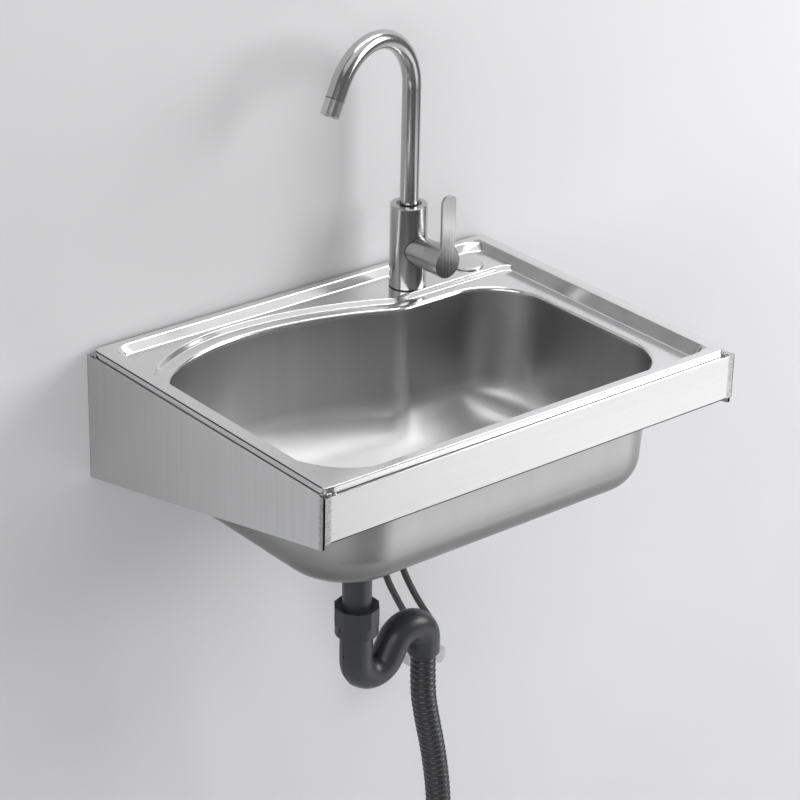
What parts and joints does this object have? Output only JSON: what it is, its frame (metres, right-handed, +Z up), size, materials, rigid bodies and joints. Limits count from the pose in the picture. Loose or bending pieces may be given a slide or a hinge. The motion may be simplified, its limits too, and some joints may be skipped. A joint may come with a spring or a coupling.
{
  "type": "wall-mounted kitchen sink",
  "caption": "Wall-mounted stainless sink: pressed kidney-shaped bowl on a bracket frame, swan-neck mixer tap with side lever, basket strainer, S-trap and waste hose.",
  "frame": {"origin": "centre of the four wall bolt holes, on the wall plane", "axes": "+X to the right as one faces the wall, +Y into the wall, +Z up"},
  "size_m": [0.594, 0.44, 1.1541],
  "materials": {
    "basin_steel": "satin",
    "frame_steel": "brushed",
    "tap_steel": "brushed",
    "plain_steel": "satin",
    "brass": "machined",
    "chrome": "polished",
    "grey_pvc": "satin",
    "white_plastic": "moulded",
    "black_rubber": "matt",
    "waste_hose": "glossy",
    "supply_hose": "satin"
  },
  "bodies": {
    "sink": {"sink_basin": "basin_steel", "left_bracket": "frame_steel", "right_bracket": "frame_steel", "front_rail": "frame_steel", "rear_rail": "frame_steel", "tap_body": "tap_steel", "hole_cover": "tap_steel", "tap_steel_washer": "plain_steel", "drain_cup": "plain_steel", "tap_shank": "brass", "tap_backnut": "brass", "cartridge_nut": "brass", "left_hose_tail": "brass", "right_hose_tail": "brass", "left_hose_ferrule": "chrome", "right_hose_ferrule": "chrome", "left_union_nut": "chrome", "right_union_nut": "chrome", "tailpipe": "grey_pvc", "coupling_nut": "grey_pvc", "trap_nut": "grey_pvc", "trap_body": "grey_pvc", "hose_cuff": "grey_pvc", "drain_backnut": "grey_pvc", "hole_cover_nut": "grey_pvc", "spout_bush": "white_plastic", "valve_cartridge": "white_plastic", "tap_base_seal": "black_rubber", "tap_rubber_washer": "black_rubber", "drain_gasket": "black_rubber", "coupling_washer": "black_rubber", "trap_washer": "black_rubber", "hose_seal": "black_rubber", "drain_hose": "waste_hose", "left_supply_hose": "supply_hose", "right_supply_hose": "supply_hose"},
    "spout": {"spout": "tap_steel", "spout_tail": "brass", "lower_spout_seal": "black_rubber", "upper_spout_seal": "black_rubber", "aerator_housing": "plain_steel", "aerator_insert": "white_plastic"},
    "handle_driver": {"cartridge_driver": "white_plastic", "driver_pin": "plain_steel"},
    "handle": {"cartridge_stem": "plain_steel", "handle_lever": "tap_steel", "handle_screw": "plain_steel"},
    "basket": {"strainer_basket": "plain_steel", "basket_knob": "plain_steel", "basket_seal": "black_rubber"}
  },
  "joints": [
    {"name": "spout_swivel", "type": "hinge", "parent": "sink", "child": "spout", "pos_m": [0.1237, -0.0584, 0.1717], "axis": [0, 0, 1], "range_deg": [-30, 175]},
    {"name": "handle_temperature", "type": "hinge", "parent": "sink", "child": "handle_driver", "pos_m": [0.1237, -0.0584, 0.1312], "axis": [0.0436, -0.999, 0], "range_deg": [-45, 45]},
    {"name": "handle_lift", "type": "hinge", "parent": "handle_driver", "child": "handle", "pos_m": [0.12525, -0.09387, 0.1312], "axis": [0.999, 0.0436, 0], "range_deg": [0, 20]},
    {"name": "basket_lift", "type": "slide", "parent": "sink", "child": "basket", "axis": [0, 0, 1], "range_m": [0, 0.25]}
  ]
}
